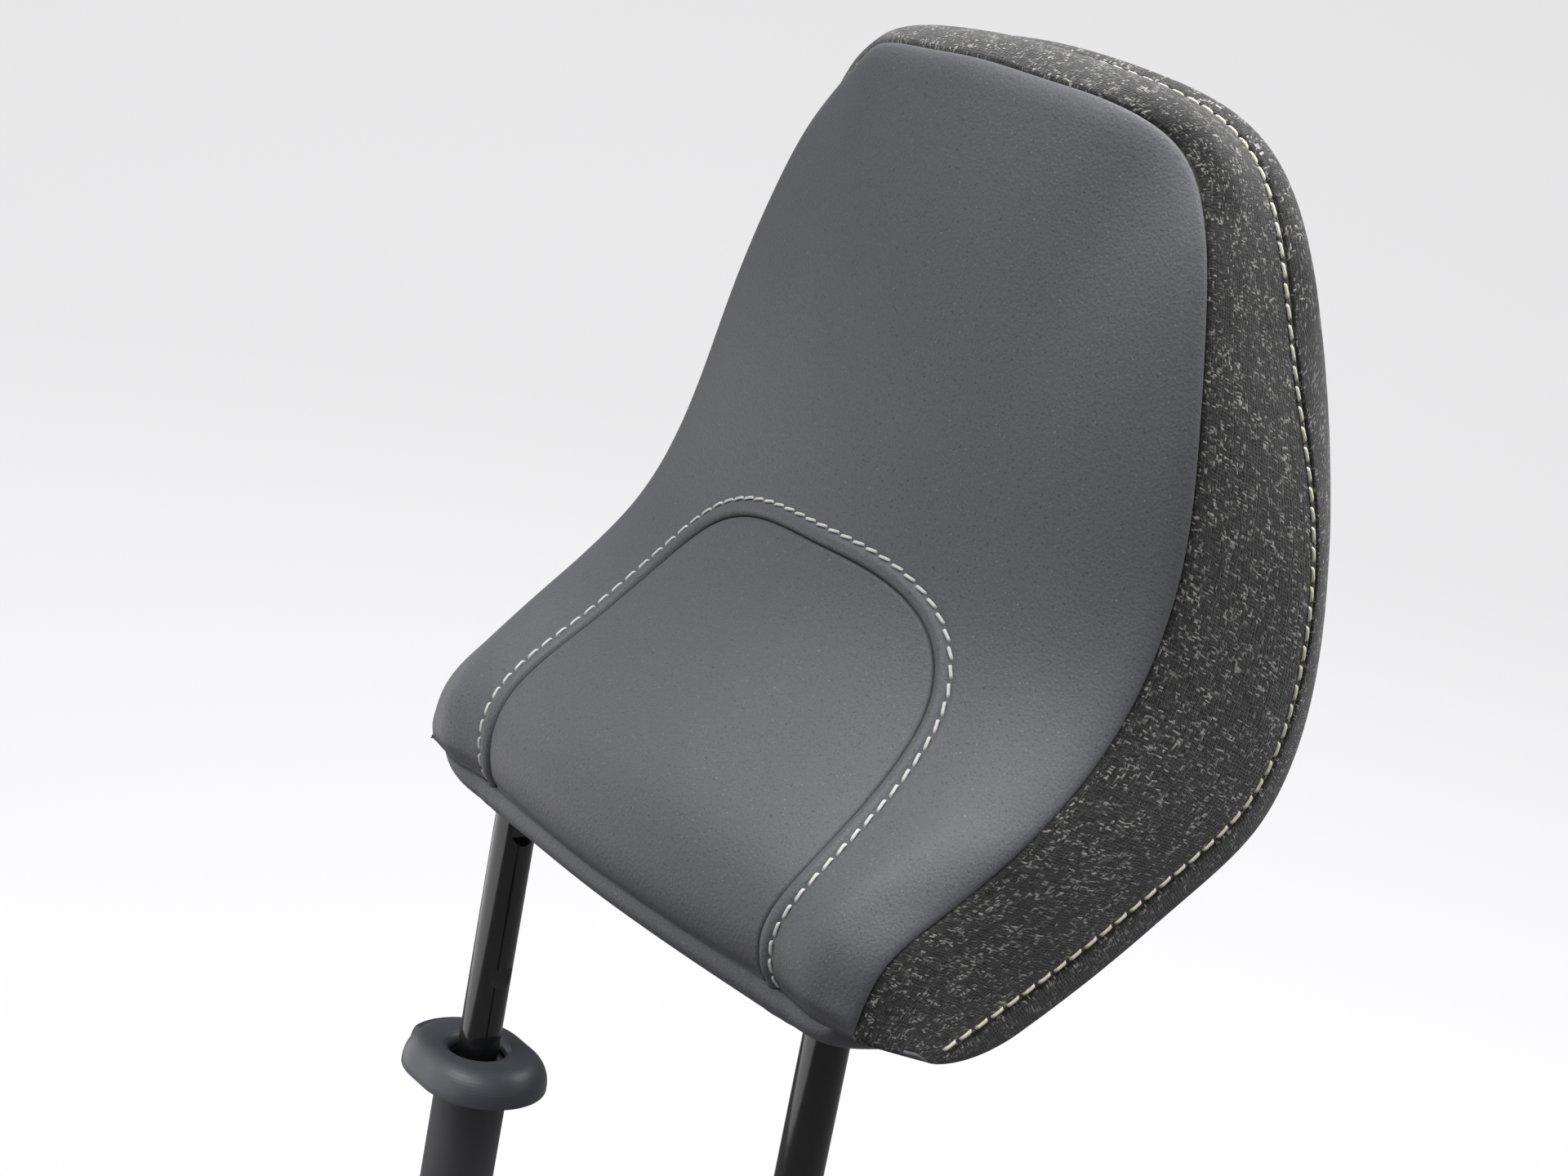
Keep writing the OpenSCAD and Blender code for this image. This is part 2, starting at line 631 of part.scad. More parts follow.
// Two hooked strips of one section, turned half round from each other, that catch in one another
module closing_strip(turn) {
    color([0.1, 0.1, 0.1]) translate([-closing_w / 2, 11.5, 98]) rotate([90, 0, 90])
        linear_extrude(closing_w)
            rotate(turn)
                polygon([[-2.6, -2.8], [-1.6, -2.8], [-1.6, 1.2], [0.4, 1.2], [0.4, -0.4], [1.4, -0.4],
                    [1.4, 2.2], [-2.6, 2.2]]);
}

module closing_strip_front() { closing_strip(0); }

module closing_strip_rear() { closing_strip(180); }

// ---------------------------------------------------------------- parts

module placed() {
    translate([post_x, 0, 0]) children();
}

placed() guide_sleeve(-post_x);  // guide_sleeve_lock
placed() guide_sleeve(post_x);  // guide_sleeve_free
placed() guide_bushes(-post_x);  // guide_bushes_lock
placed() guide_bushes(post_x);  // guide_bushes_free
placed() rattle_spring(-post_x);  // rattle_spring_lock
placed() rattle_spring(post_x);  // rattle_spring_free
placed() escutcheon_lock();
placed() escutcheon_free();
placed() lock_spring();
placed() lock_button();
placed() lock_slider();
placed() post_frame();
placed() carrier_front();
placed() carrier_rear();
placed() carrier_screws();
placed() foam_core();
placed() cover_face();
placed() cover_neck();
placed() cover_border();
placed() cover_back();
placed() cover_underside();
placed() neck_stitching();
placed() border_stitching();
placed() closing_strip_front();
placed() closing_strip_rear();
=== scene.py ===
"""The looks of the head restraint: its sewn cover, thread, and the finish of every part."""

import json
import math

import bpy
import numpy as np
from mathutils import Matrix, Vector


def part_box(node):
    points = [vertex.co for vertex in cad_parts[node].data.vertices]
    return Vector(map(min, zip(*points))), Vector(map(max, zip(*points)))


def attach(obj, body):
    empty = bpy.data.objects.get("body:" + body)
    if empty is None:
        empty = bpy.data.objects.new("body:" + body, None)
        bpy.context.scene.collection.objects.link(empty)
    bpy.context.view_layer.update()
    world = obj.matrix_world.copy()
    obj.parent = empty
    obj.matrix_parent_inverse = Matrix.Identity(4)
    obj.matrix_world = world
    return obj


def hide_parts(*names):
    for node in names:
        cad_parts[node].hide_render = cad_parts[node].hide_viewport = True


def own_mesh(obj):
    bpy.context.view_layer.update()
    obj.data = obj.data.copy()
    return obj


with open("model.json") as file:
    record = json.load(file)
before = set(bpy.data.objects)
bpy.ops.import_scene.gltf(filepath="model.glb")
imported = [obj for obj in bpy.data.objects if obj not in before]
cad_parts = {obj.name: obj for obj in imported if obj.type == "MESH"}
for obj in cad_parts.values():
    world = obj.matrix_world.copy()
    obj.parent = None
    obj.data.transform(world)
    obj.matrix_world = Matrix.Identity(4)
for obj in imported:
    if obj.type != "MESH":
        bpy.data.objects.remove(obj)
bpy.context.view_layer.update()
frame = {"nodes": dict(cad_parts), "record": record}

MM = 0.001
PAD = "headrest"                       # the CAD body that the whole pad rides on

# ---------------------------------------------------------------- driving dimensions, millimetres

TRIM = 2.0                             # thickness of the cover materials
THIN_TRIM = 1.4                        # the same under the pad
STITCH_PITCH = 4.9
THREAD_R = 0.42
STITCH_PULL = 0.45                     # how deep a row of stitches draws the cover in
NECK_STITCH_OFFSET = 4.7               # from the neck seam to its row of stitches
REAR_STITCH_OFFSET = 1.5               # from the rear seam to its row of stitches
FACE_RISE = 1.6                        # how far padding may blow each panel up between its seams
NECK_RISE = 3.4
BORDER_RISE = 0.9
BACK_RISE = 2.5
CLOTH_POINTS = 44                      # along each side of the sheets that are blown up
PADDING_SMOOTHING = 30                 # passes that even out wrinkles, which this firm padding doesn't show
FACE_EDGE_ROLL = 1.2                   # radius of each panel's turned edge, at the neck seam
NECK_EDGE_ROLL = 1.3
BORDER_FRONT_ROLL = 1.6                # the same at the face seam and at the rear seam
BORDER_REAR_ROLL = 0.8
BACK_EDGE_ROLL = 0.9
LOWER_EDGE_ROLL = 1.4                  # the same where the back and the underside meet
WELT_HEIGHT = 0.8                      # of the folded seam allowance that shows beside the neck seam
SOFT_EDGE = 2.0                        # how far the leatherette stands up beside the face seam at the top
SOFT_EDGE_LOW = 3.2                    # and how much further beside the legs
BACK_SHOULDER = 7.5                    # how far the back's rounded shoulder stands out from its seam
BACK_BELLY = 17.0                      # the same for the belly below it
BACK_PUFF = 8.5                        # how far the middle of the back bulges beyond both
BELLY_LEAN = -46                       # degrees: which way the belly, the back and its top edge stand out
BACK_LEAN = 4
TOP_LEAN = 48
UNDERSIDE_DROP = 9.0
CORNER_SIZE = 6.0                      # how near a corner thickness and rolled edges start to fade out
CREASE_DEPTH = 0.8
CREASE_WIDTH = 2.2
POST_R = 6.0
POST_HOLE_R = 6.35
SLIVER = 0.12                          # widest sliver of the post's surface that is welded shut

# Right half of each seam: its lower end first, then up to the middle of the top. The neck seam's depth
# comes from the face.
FACE_SEAM = [(97.5, -16, 94.5), (98, -12, 110), (99, 3, 124), (101, 24, 142), (100, 45, 166), (98, 57, 200),
             (92, 60, 235), (83, 62, 266), (74, 64, 286), (62, 64, 300), (46, 57, 307), (24, 53, 309),
             (0, 51.5, 310)]
REAR_SEAM = [(106, 3, 90), (105.5, 20, 98.5), (106.5, 44, 113.5), (107.5, 68, 130.5), (108.5, 89, 149.5),
             (107.5, 98, 181), (102.5, 95, 221), (92.5, 87, 256.5), (83, 83, 284), (71, 83, 299),
             (53.5, 83, 308), (27.5, 79, 313), (0, 77, 314.5)]
NECK_SEAM = [(63, 0, 93), (63, 0, 107), (65, 0, 122), (63, 0, 141), (57, 0, 161), (47, 0, 173.5),
             (32, 0, 180.5), (0, 0, 183)]
# Height and depth of the face along the middle of the pad
FACE_LINE = [(88, -16), (94, -20), (105, -23.5), (122, -19.5), (141, -2.5), (157, 13), (177, 25.5),
             (213, 34.5), (265, 44), (302, 54), (320, 60)]
REAR_CORNER = 8 / 12                   # the share of the rear seam that forms one side
NECK_CORNER = 5 / 7
LOW_ROUNDING = 0.0011                  # how much the face falls back towards its sides, low down
MORE_ROUNDING = 0.0015                 # and how much that grows above the neck

# ---------------------------------------------------------------- curves


def unit(v):
    return v / np.maximum(np.linalg.norm(v, axis=-1, keepdims=True), 1e-9)


def spline(knots, points):
    """A smooth curve through points: returns a function of an array of parameters."""
    t, p = np.asarray(knots, float), np.asarray(points, float)
    h = np.diff(t)
    n = len(t)
    a, b = np.eye(n), np.zeros((n, p.shape[1]))
    for i in range(1, n - 1):
        a[i, i - 1:i + 2] = h[i - 1], 2 * (h[i - 1] + h[i]), h[i]
        b[i] = 6 * ((p[i + 1] - p[i]) / h[i] - (p[i] - p[i - 1]) / h[i - 1])
    m = np.linalg.solve(a, b)

    def at(u):
        u = np.asarray(u, float)
        k = np.clip(np.searchsorted(t, u) - 1, 0, n - 2)
        w, x, y = h[k][..., None], (t[k + 1] - u)[..., None], (u - t[k])[..., None]
        return ((m[k] * x ** 3 + m[k + 1] * y ** 3) / (6 * w)
                + (p[k] / w - m[k] * w / 6) * x + (p[k + 1] / w - m[k + 1] * w / 6) * y)

    return at


def mirrored(half):
    """A whole rim from its right half: lower left, over the top, lower right."""
    half = np.asarray(half, float)
    return np.concatenate([half[:-1] * (-1, 1, 1), half[::-1]])


def chords(points):
    """How far along its outline each point lies, from 0 to 1."""
    steps = np.linalg.norm(np.diff(points, axis=0), axis=1)
    return np.concatenate([[0], np.cumsum(steps)]) / steps.sum()


# The middle plane between the two posts, from the frame
post_low, post_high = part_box("post_frame")
MIDDLE = np.array([(post_low[0] + post_high[0]) / 2 / MM, 0, 0])
POST_X = (post_high[0] - post_low[0]) / 2 / MM - POST_R

face_points, rear_points, neck_points = mirrored(FACE_SEAM), mirrored(REAR_SEAM), mirrored(NECK_SEAM)
rim_knots = (chords(face_points) + chords(rear_points)) / 2
face_seam = spline(rim_knots, face_points)
rear_seam = spline(rim_knots, rear_points)
neck_seam = spline(chords(neck_points), neck_points)
face_line = spline([z for z, _ in FACE_LINE], [[y] for _, y in FACE_LINE])


def smooth(x):
    x = np.clip(x, 0, 1)
    return x * x * (3 - 2 * x)


def face_y(x, z):
    """Depth of the face: rounded across its width, more so above the neck."""
    rounding = LOW_ROUNDING + MORE_ROUNDING * smooth((z - 105) / 40)
    return face_line(z)[..., 0] + rounding * x * x


def face_normals(p):
    """Unit normals of the face's depth surface, which look out of the pad."""
    x, z, step = p[..., 0], p[..., 2], 0.5
    slope_x = (face_y(x + step, z) - face_y(x - step, z)) / (2 * step)
    slope_z = (face_y(x, z + step) - face_y(x, z - step)) / (2 * step)
    return unit(np.stack([slope_x, -np.ones_like(x), slope_z], -1))


def face_error(p):
    """How far a point lies behind the face's depth surface."""
    return p[..., 1] - face_y(p[..., 0], p[..., 2])


def coons(low, high, left, right, c, r):
    """A patch spanned by four edges, each an array of points."""
    c, r = c[None, :, None], r[:, None, None]
    low, high, left, right = low[None], high[None], left[:, None], right[:, None]
    corners = ((1 - r) * ((1 - c) * low[:, :1] + c * low[:, -1:])
               + r * ((1 - c) * high[:, :1] + c * high[:, -1:]))
    return (1 - r) * low + r * high + (1 - c) * left + c * right - corners


def denser_ends(count, power=1.6):
    """Parameters from 0 to 1, closer together near both ends, where the seams are."""
    u = np.linspace(-1, 1, count)
    return 0.5 + 0.5 * np.sign(u) * (1 - (1 - np.abs(u)) ** power)


# ---------------------------------------------------------------- seams in relief


def distance_to(points, curve_points):
    """Distance from each grid point to a polyline, in millimetres."""
    flat = points.reshape(-1, 3)
    a, b = curve_points[:-1], curve_points[1:]
    ab = b - a
    best = np.full(len(flat), 1e9)
    for start in range(0, len(flat), 4000):
        p = flat[start:start + 4000, None]
        t = np.clip(((p - a) * ab).sum(-1) / (ab * ab).sum(-1), 0, 1)
        best[start:start + 4000] = np.linalg.norm(p - a - t[..., None] * ab, axis=-1).min(1)
    return best.reshape(points.shape[:-1])


def shoulder(d, width):
    """Rises round from 0 at a seam to 1 at a distance of width."""
    x = np.clip(1 - d / width, 0, 1)
    return np.sqrt(1 - x * x)


def roll(d, radius):
    """How far a panel's edge has turned inwards at distance d from its seam."""
    return radius * (shoulder(d, radius) - 1)


def bump_at(d, centre, width):
    return np.exp(-((d - centre) / width) ** 2)


def grid_normals(g):
    return unit(np.cross(np.gradient(g, axis=0), np.gradient(g, axis=1)))


def wander(p, scale, seed):
    """Slow, seeded unevenness of padding under a cover, between -1 and 1."""
    rng = np.random.default_rng(seed)
    total = np.zeros(p.shape[:-1])
    for _ in range(7):
        direction = unit(rng.normal(size=3)) * rng.uniform(0.6, 1.5) * 2 * math.pi / scale
        total += np.sin(p @ direction + rng.uniform(0, 2 * math.pi))
    return total / 7


s_dense = np.linspace(0, 1, 320)
face_rim = face_seam(s_dense)
rear_rim = rear_seam(s_dense)
neck_rim = neck_seam(s_dense)
neck_rim[:, 1] = face_y(neck_rim[:, 0], neck_rim[:, 2])

# ---------------------------------------------------------------- padding


def grid_quads(rows, cols):
    index = np.arange(rows * cols).reshape(rows, cols)
    return np.stack([index[:-1, :-1], index[1:, :-1], index[1:, 1:], index[:-1, 1:]], -1).reshape(-1, 4)


def refined(values, rows, cols):
    """Smooth values for every index of a grid from values at some of its rows and columns."""
    tall = spline(rows, values.reshape(len(rows), -1))(np.arange(rows[-1] + 1))
    tall = tall.reshape(len(tall), len(cols), 3).transpose(1, 0, 2)
    wide = spline(cols, tall.reshape(len(cols), -1))(np.arange(cols[-1] + 1))
    return wide.reshape(len(wide), -1, 3).transpose(1, 0, 2)


def padded(grid, rise, name):
    """Blows a panel up between its seams by cloth simulation, and never further than rise."""
    height, width = grid.shape[:2]
    rows = np.unique(np.linspace(0, height - 1, CLOTH_POINTS).round().astype(int))
    cols = np.unique(np.linspace(0, width - 1, CLOTH_POINTS).round().astype(int))
    coarse = grid[np.ix_(rows, cols)]
    mesh = bpy.data.meshes.new(name)
    mesh.from_pydata((coarse.reshape(-1, 3) * MM).tolist(), [], grid_quads(len(rows), len(cols)).tolist())
    sheet = bpy.data.objects.new(name, mesh)
    bpy.context.scene.collection.objects.link(sheet)
    seams = np.ones(coarse.shape[:2], bool)
    seams[1:-1, 1:-1] = False
    sheet.vertex_groups.new(name="seams").add(np.flatnonzero(seams).tolist(), 1.0, "REPLACE")
    cloth = sheet.modifiers.new("padding", "CLOTH")
    cloth.settings.mass = 0.05
    cloth.settings.bending_stiffness = 20
    cloth.settings.vertex_group_mass = "seams"
    cloth.settings.use_pressure = True
    cloth.settings.uniform_pressure_force = 4
    cloth.settings.effector_weights.gravity = 0
    for frame_number in range(1, 21):
        bpy.context.scene.frame_set(frame_number)
    graph = bpy.context.evaluated_depsgraph_get()
    result = sheet.evaluated_get(graph).to_mesh()
    after = np.zeros(len(result.vertices) * 3)
    result.vertices.foreach_get("co", after)
    bpy.data.objects.remove(sheet)
    bpy.context.scene.frame_set(1)
    up = grid_normals(coarse)
    lift = ((after.reshape(coarse.shape) / MM - coarse) * up).sum(-1, keepdims=True)
    lift = rise * np.tanh(np.maximum(lift, 0) / rise)
    for _ in range(PADDING_SMOOTHING):
        lift[1:-1, 1:-1] = (lift[:-2, 1:-1] + lift[2:, 1:-1] + lift[1:-1, :-2] + lift[1:-1, 2:]) / 4
    return grid + refined(lift * up, rows, cols)


# ---------------------------------------------------------------- panel surfaces


def crease_line(c):
    """The crease under the face."""
    half, x = face_points[-1], (2 * c - 1) * face_points[-1][0]
    z = half[2] + (neck_points[-1][2] - half[2]) * np.sqrt(np.clip(1 - (2 * c - 1) ** 2, 0, 1))
    y = face_y(x, z) + face_error(half) * np.abs(2 * c - 1) ** 3
    return np.stack([x, y, z], -1)


def rear_edge(c):
    """The lower edge of the back, which passes behind the posts."""
    end, q = rear_points[-1], 1 - np.abs(2 * c - 1) ** 4
    return np.stack([(2 * c - 1) * end[0], end[1] + 9 * q, end[2] + 1.5 * q], -1)


crease_rim = crease_line(np.linspace(0, 1, 240))
rear_edge_rim = rear_edge(np.linspace(0, 1, 240))


def stitch_valley(d, centre):
    """A row of stitches draws the cover in."""
    return -STITCH_PULL * bump_at(d, centre, 0.9)


def crease_dip(p):
    return -CREASE_DEPTH * bump_at(distance_to(p, crease_rim), 0, CREASE_WIDTH)


def edge_puff(p, d):
    """The leatherette rolls over on its way to the face seam, broadly on the legs, tightly at the top."""
    low = 1 - smooth((p[..., 2] - 105) / 75)
    return (SOFT_EDGE + SOFT_EDGE_LOW * low) * shoulder(d, 7 + 13 * low)


def lower_edge_roll(p):
    """The turned edge between the back and the underside, which fades out at the rear seam's lower ends."""
    corner = rear_points[-1] * np.where(p[..., :1] < 0, (-1, 1, 1), 1)
    away = np.linalg.norm(p - corner, axis=-1)
    return roll(distance_to(p, rear_edge_rim), LOWER_EDGE_ROLL) * smooth(away / CORNER_SIZE)


def above_crease(p, lift):
    """Lets a lift fade out towards the crease."""
    return lift * (0.3 + 0.7 * smooth(distance_to(p, crease_rim) / 7))


def face_grid():
    """Outer part of the face, from the neck seam out to the face seam."""
    s, t = np.linspace(0, 1, 420), denser_ends(100, 2.0)
    inner, outer = neck_seam(s)[:, None], face_seam(s)[:, None]
    tt = t[None, :, None]
    p = (1 - tt) * inner + tt * outer
    p[..., 1] = face_y(p[..., 0], p[..., 2]) + face_error(outer) * t[None, :] ** 3
    p = padded(p, FACE_RISE, "face_padding")
    d_neck, d_face = distance_to(p, neck_rim), distance_to(p, face_rim)
    welt = WELT_HEIGHT * bump_at(d_neck, 2.2, 2.1)
    lift = roll(d_neck, FACE_EDGE_ROLL) + welt + stitch_valley(d_neck, NECK_STITCH_OFFSET)
    lift += above_crease(p, edge_puff(p, d_face)) * smooth(1.5 * d_neck / (d_neck + d_face + 1e-6))
    lift += 0.25 * wander(p, 60, 3) * smooth(d_face / 12)
    lift += crease_dip(p)
    return p + face_normals(p) * lift[..., None], d_neck


def neck_grid():
    """The raised panel inside the neck seam, from the top of the U down to the crease."""
    c, r = denser_ends(120), denser_ends(110)
    half = NECK_CORNER / 2
    low_x = (2 * c - 1) * neck_points[-1][0]
    low = np.stack([low_x, 0 * c, 0 * c + neck_points[-1][2]], -1)
    left = neck_seam(r * half)
    right = left * (-1, 1, 1)
    high = neck_seam(half + c * (1 - NECK_CORNER))
    p = coons(low, high, left, right, c, r)[::-1]
    p[..., 1] = face_y(p[..., 0], p[..., 2])
    p = padded(p, NECK_RISE, "neck_padding")
    d = distance_to(p, neck_rim)
    lift = roll(d, NECK_EDGE_ROLL) + 0.2 * wander(p, 55, 5) * smooth(d / 12) + crease_dip(p)
    return p + face_normals(p) * lift[..., None]


def border_grid():
    """Spans the face seam and the rear seam in a flat arch, which is rounder over the top."""
    s, t = np.linspace(0, 1, 560), denser_ends(64)
    front, rear = face_seam(s), rear_seam(s)
    out, back = unit(np.cross(np.gradient(front + rear, axis=0), rear - front)), unit(rear - front)
    top = smooth((front[:, 2:] - 284) / 16)
    front_handle = front + (2.5 + 4.5 * top) * out + 8 * back
    rear_handle = rear + (2 + 3 * top) * out - 12 * back
    u = t[None, :, None]
    p = ((1 - u) ** 3 * front[:, None] + 3 * (1 - u) ** 2 * u * front_handle[:, None]
         + 3 * (1 - u) * u * u * rear_handle[:, None] + u ** 3 * rear[:, None])
    p = padded(p, BORDER_RISE, "border_padding")
    d_face, d_rear = distance_to(p, face_rim), distance_to(p, rear_rim)
    near_end = 1 - smooth(np.minimum(s, 1 - s) / 0.005)[:, None]
    lift = roll(d_face, BORDER_FRONT_ROLL) * (1 - near_end) + roll(d_rear, BORDER_REAR_ROLL)
    lift += 0.5 * stitch_valley(d_rear, REAR_STITCH_OFFSET)
    lift += 0.35 * wander(p, 45, 11) * smooth(d_face / 9) * smooth(d_rear / 9)
    return p + grid_normals(p) * lift[..., None], d_rear


def back_grid():
    """The back faces down and back over the belly, and straight back above it, with round shoulders."""
    c, r = denser_ends(170, 2.0), denser_ends(190, 2.0)
    half = REAR_CORNER / 2
    left = rear_seam(r * half)
    right = left * (-1, 1, 1)
    p = coons(rear_edge(c), rear_seam(half + c * (1 - REAR_CORNER)), left, right, c, r)
    turn = smooth((r - 0.45) / 0.3)
    top = smooth((r - 0.78) / 0.22)
    lean = np.radians(BELLY_LEAN + (BACK_LEAN - BELLY_LEAN) * turn + (TOP_LEAN - BACK_LEAN) * top)
    direction = np.stack([0 * lean, np.cos(lean), np.sin(lean)], -1)[:, None]
    out = (BACK_BELLY + (BACK_SHOULDER - BACK_BELLY) * turn + 2 * top)[:, None]
    full = shoulder(np.minimum(c, 1 - c), 0.06)[None] * (shoulder(r, 0.1) * shoulder(1 - r, 0.045))[:, None]
    puff = BACK_PUFF * (4 * c * (1 - c))[None] * (4 * r * (1 - r))[:, None]
    p = padded(p + direction * (out * full + puff)[..., None], BACK_RISE, "back_padding")
    d = distance_to(p, rear_rim)
    lift = roll(d, BACK_EDGE_ROLL) + 0.5 * wander(p, 70, 17) * smooth(d / 14)
    lift += lower_edge_roll(p)
    return p + grid_normals(p) * lift[..., None]


def underside_grid(front_edge, left_edge, right_edge):
    """Hangs down in a round fold between the front's lower edge and the lower edge of the back."""
    c, r = denser_ends(260, 1.4), denser_ends(60, 2.0)
    order = np.argsort(front_edge[:, 0])
    half_width = front_edge[:, 0].max()
    x = (2 * c - 1) * half_width
    nearby = x[:, None] + np.linspace(-1, 1, 9) * np.clip(half_width - np.abs(x), 0, 4)[:, None]
    front = np.stack([np.interp(nearby, front_edge[order, 0], front_edge[order, k]).mean(1)
                      for k in range(3)], -1)
    sides = []
    for edge, corner in ((left_edge, front[0]), (right_edge, front[-1])):
        side = np.stack([np.interp(r, denser_ends(len(edge)), edge[:, k]) for k in range(3)], -1)
        sides.append(side + (corner - side[0]) * ((1 - r) ** 12)[:, None])
    p = coons(front, rear_edge(c), sides[0], sides[1], c, r)
    flat_end, bend = 0.04, 0.16
    across = shoulder(np.clip(np.minimum(c, 1 - c) - flat_end, 0, 1), bend)
    hang = ((4 * r * (1 - r)) ** 0.3)[:, None] * across[None]
    p[..., 2] -= UNDERSIDE_DROP * hang
    lift = CREASE_DEPTH * (1 - bump_at(distance_to(p, front), 0, CREASE_WIDTH)) * hang
    lift += lower_edge_roll(p)
    return around_posts(p + grid_normals(p) * lift[..., None])


def around_posts(p):
    """Turns the cover up round each post, as a rolled hole with a soft lip."""
    collar, lip, lip_width = 1.2, 1.4, 2.2
    for post_x in (-POST_X, POST_X):
        away = p[..., :2] - (post_x, 0)
        d = np.linalg.norm(away, axis=-1)
        ring = away / np.maximum(d, 0.3)[..., None] * POST_HOLE_R + (post_x, 0)
        p[..., :2] = np.where((d < POST_HOLE_R)[..., None], ring, p[..., :2])
        p[..., 2] += np.clip(POST_HOLE_R - d, 0, None) * collar
        p[..., 2] += lip * np.exp(-np.clip(d - POST_HOLE_R, 0, None) / lip_width)
    return p


# ---------------------------------------------------------------- meshes


def add_object(name, mesh, node, body=PAD):
    """A piece that rides on a body and stands for a CAD node."""
    ob = bpy.data.objects.new(name, mesh)
    bpy.context.scene.collection.objects.link(ob)
    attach(ob, body)
    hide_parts(node)
    return ob


def pared_corners(ob, grid):
    """A vertex group that thins a panel down towards its corners, where three seams meet."""
    group = ob.vertex_groups.new(name="pared_corners")
    corners = grid[[0, 0, -1, -1], [0, -1, 0, -1]]
    away = np.linalg.norm(grid[:, :, None] - corners, axis=-1).min(-1).ravel()
    group.add(list(range(away.size)), 1.0, "REPLACE")
    for index in np.flatnonzero(away < CORNER_SIZE):
        group.add([int(index)], float(smooth(away[index] / CORNER_SIZE)), "REPLACE")
    return group.name


def panel(name, grid, material, node, thickness=TRIM):
    """A cover panel from a grid of points on its visible side, with a cloth's thickness behind it."""
    rows, cols = grid.shape[:2]
    mesh = bpy.data.meshes.new(name)
    verts = (grid + MIDDLE).reshape(-1, 3) * MM
    mesh.from_pydata(verts.tolist(), [], grid_quads(rows, cols).tolist())
    u = np.concatenate([[0], np.cumsum(np.linalg.norm(np.diff(grid, axis=0), axis=-1).mean(1))])
    v = np.concatenate([[0], np.cumsum(np.linalg.norm(np.diff(grid, axis=1), axis=-1).mean(0))])
    uv = np.stack(np.broadcast_arrays(u[:, None], v[None, :]), -1).reshape(-1, 2)
    layer = mesh.uv_layers.new(name="cloth_mm")
    loops = np.zeros(len(mesh.loops), np.int32)
    mesh.loops.foreach_get("vertex_index", loops)
    layer.data.foreach_set("uv", uv[loops].ravel())
    mesh.shade_smooth()
    ob = add_object(name, mesh, node)
    thick = ob.modifiers.new("cloth_thickness", "SOLIDIFY")
    thick.thickness = thickness * MM
    thick.offset = -1
    thick.vertex_group = pared_corners(ob, grid)
    thick.thickness_vertex_group = 0.05
    mesh.materials.append(material)
    return ob


def stitch_row(name, path, normals, material, node, lean):
    """One bent capsule of thread for each stitch, turned aside by lean. Its ends dip into the cover."""
    lengths = np.concatenate([[0], np.cumsum(np.linalg.norm(np.diff(path, axis=0), axis=1))])
    count = int(lengths[-1] / STITCH_PITCH)
    around, steps, covered = 8, 9, 0.88
    angles = np.linspace(0, 2 * math.pi, around, endpoint=False)
    verts, faces = [], []
    for i in range(count):
        centre = (i + 0.5) * lengths[-1] / count
        q = np.linspace(-0.5, 0.5, steps)
        where = centre + q * STITCH_PITCH * covered
        p = np.stack([np.interp(where, lengths, path[:, k]) for k in range(3)], -1)
        n = unit(np.stack([np.interp(where, lengths, normals[:, k]) for k in range(3)], -1))
        tangent = unit(np.gradient(p, axis=0))
        side = np.cross(n, tangent)
        p = p + side * (lean * q * STITCH_PITCH)[:, None]
        height = 0.42 - 0.9 * np.abs(2 * q) ** 6
        p = p + n * height[:, None]
        thick = THREAD_R * np.sqrt(np.clip(1 - np.abs(2 * q) ** 6 * 0.75, 0.05, 1))
        ring = (p[:, None] + side[:, None] * (np.cos(angles)[None, :, None] * thick[:, None, None] * 1.12)
                + n[:, None] * (np.sin(angles)[None, :, None] * thick[:, None, None] * 0.9))
        base = len(verts)
        verts += ring.reshape(-1, 3).tolist()
        for k in range(steps - 1):
            for j in range(around):
                a, b = base + k * around + j, base + k * around + (j + 1) % around
                faces.append((a, b, b + around, a + around))
        faces.append(tuple(base + j for j in reversed(range(around))))
        faces.append(tuple(base + (steps - 1) * around + j for j in range(around)))
    mesh = bpy.data.meshes.new(name)
    mesh.from_pydata(((np.array(verts) + MIDDLE) * MM).tolist(), [], faces)
    mesh.shade_smooth()
    mesh.materials.append(material)
    return add_object(name, mesh, node)


def row_along(grid, distance, offset):
    """The line on a grid at a given distance from a seam, with its normals."""
    normals = grid_normals(grid)
    path, up = [], []
    for points, n, d in zip(grid, normals, distance):
        order = np.argsort(d)
        path.append([np.interp(offset, d[order], points[order, k]) for k in range(3)])
        up.append([np.interp(offset, d[order], n[order, k]) for k in range(3)])
    return np.array(path), np.array(up)


# ---------------------------------------------------------------- materials


